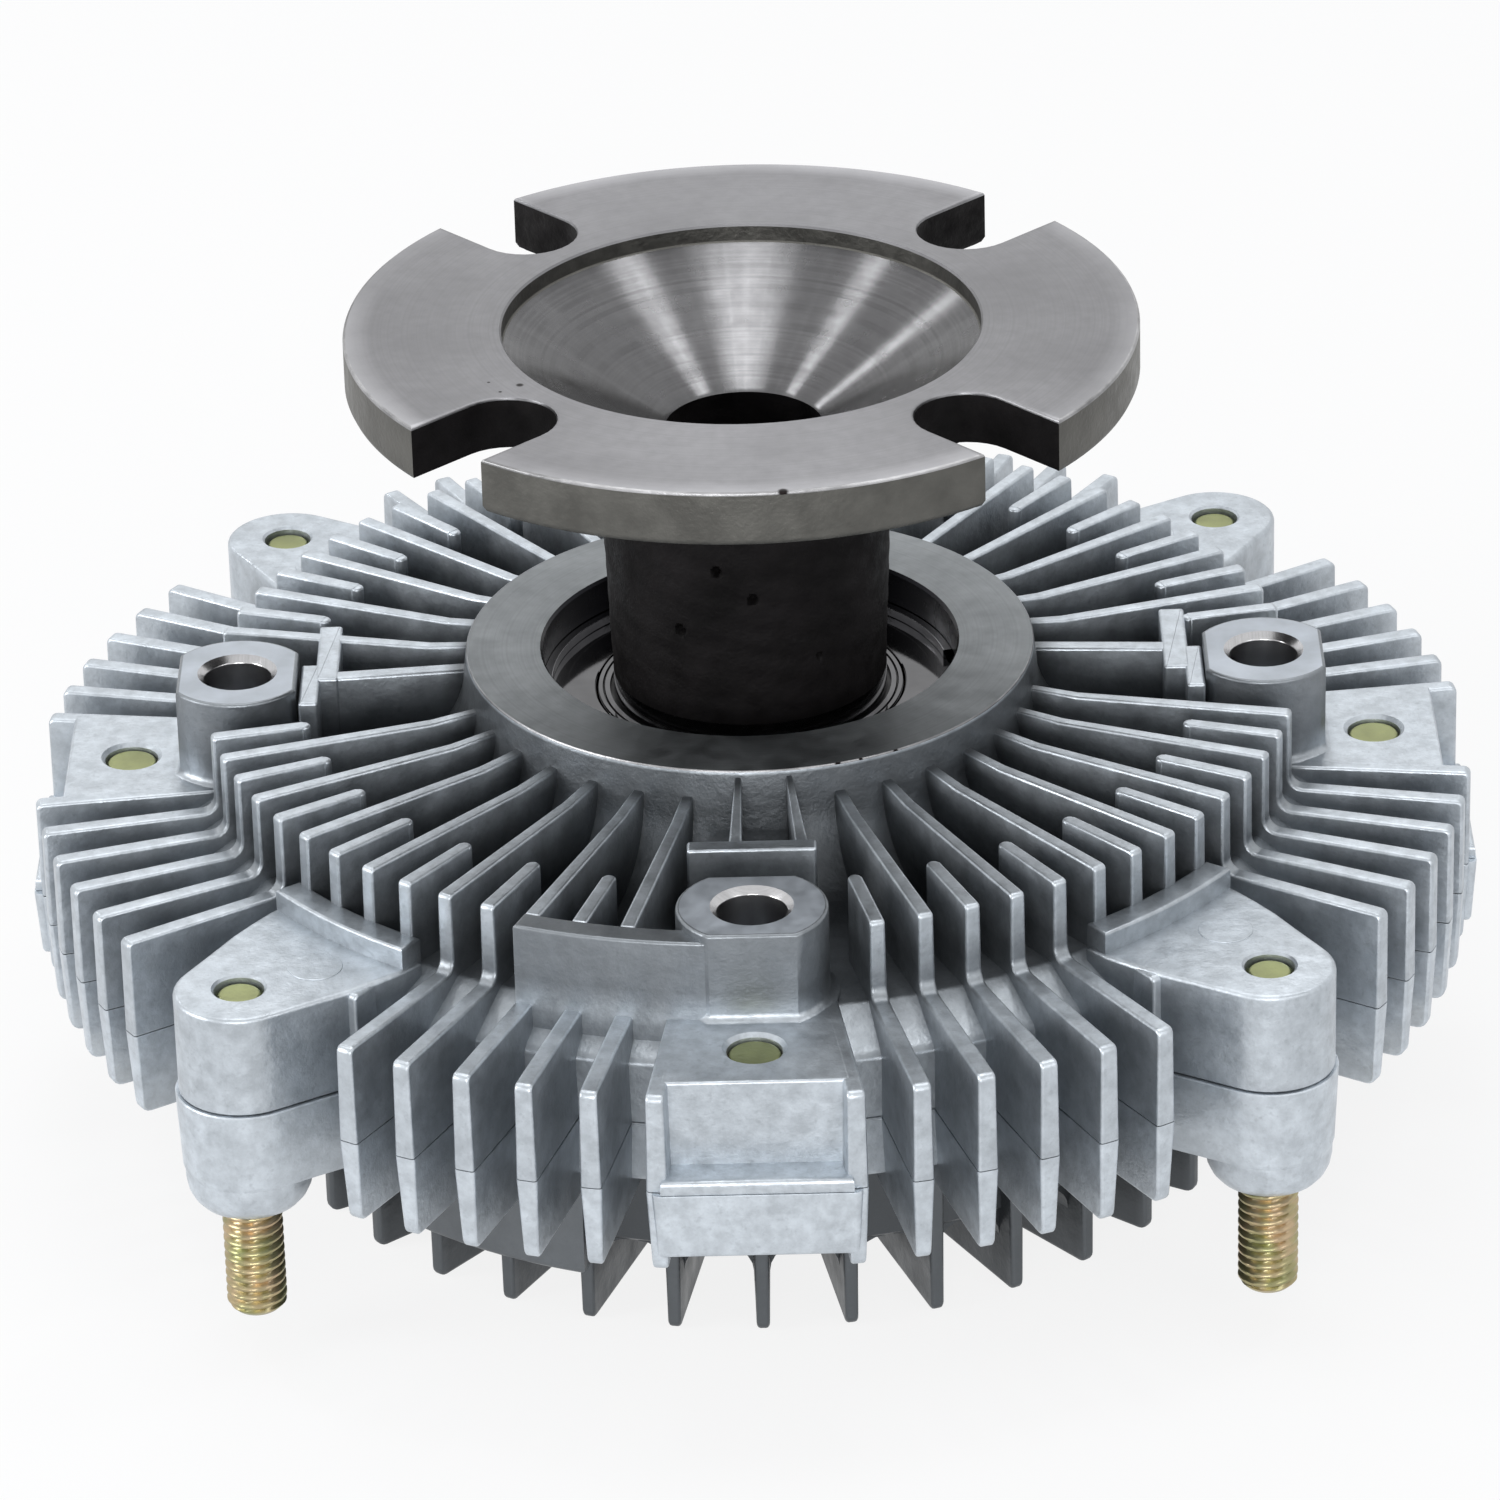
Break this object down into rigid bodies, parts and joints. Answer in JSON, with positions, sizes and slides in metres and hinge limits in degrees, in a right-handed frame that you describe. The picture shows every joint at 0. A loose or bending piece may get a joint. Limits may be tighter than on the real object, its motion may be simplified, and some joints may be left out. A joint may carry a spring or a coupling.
{
  "type": "viscous fan clutch",
  "caption": "Finned fan clutch with a driving flange on a stub shaft; its castings turn on a bearing, a fluid disc drives them and a bimetal coil works the valve.",
  "frame": {"origin": "on the shaft axis, in the plane of the front blade tips", "axes": "+Z along the shaft towards the driving flange; -Y is the side with the short arc wall beside its boss; +X to the right of it"},
  "size_m": [0.148, 0.148, 0.0872],
  "materials": {
    "cast_aluminium": "blue-grey die casting with bright machined edges",
    "hub_steel": "machined flange face, rough black shaft",
    "bearing_steel": "ground",
    "ball_steel": "polished",
    "cage_plastic": "moulded",
    "black_rubber": "matt black",
    "spring_steel": "oiled spring steel",
    "disc_aluminium": "machined",
    "plate_steel": "pressed",
    "bimetal_strip": "bare strip, faint straw tint",
    "zinc_steel": "zinc plated, olive and pink tint"
  },
  "bodies": {
    "housing": {"rear_body": "cast_aluminium", "front_cover": "cast_aluminium", "bearing_outer_ring": "bearing_steel", "bearing_front_shield": "black_rubber", "bearing_rear_shield": "black_rubber", "bearing_clip": "spring_steel", "seam_seal": "black_rubber", "divider_plate": "plate_steel", "plate_rivets": "plate_steel", "fluid_wiper": "cage_plastic", "bimetal_coil": "bimetal_strip", "coil_anchor": "plate_steel", "fan_studs": "zinc_steel", "seam_screws": "zinc_steel"},
    "drive": {"drive_hub": "hub_steel", "bearing_inner_ring": "bearing_steel", "clutch_disc": "disc_aluminium", "disc_clip": "spring_steel"},
    "bearing_train": {"bearing_balls": "ball_steel", "bearing_cage": "cage_plastic"},
    "valve": {"valve_shaft": "bearing_steel", "valve_arm": "plate_steel", "valve_clip": "spring_steel", "valve_seal": "black_rubber"}
  },
  "joints": [
    {"name": "hub_spin", "type": "hinge", "parent": "housing", "child": "drive", "pos_m": [0, 0, 0.0407], "axis": [0, 0, 1], "continuous": true},
    {"name": "cage_spin", "type": "hinge", "parent": "housing", "child": "bearing_train", "pos_m": [0, 0, 0.0407], "axis": [0, 0, 1], "continuous": true},
    {"name": "valve_turn", "type": "hinge", "parent": "housing", "child": "valve", "pos_m": [0, 0, 0.0152], "axis": [0, 0, 1], "range_deg": [0, 30], "stiffness_Nm_per_rad": 0.02}
  ],
  "couplings": [
    {"joint": "cage_spin", "follows": "hub_spin", "ratio": 0.42899}
  ]
}
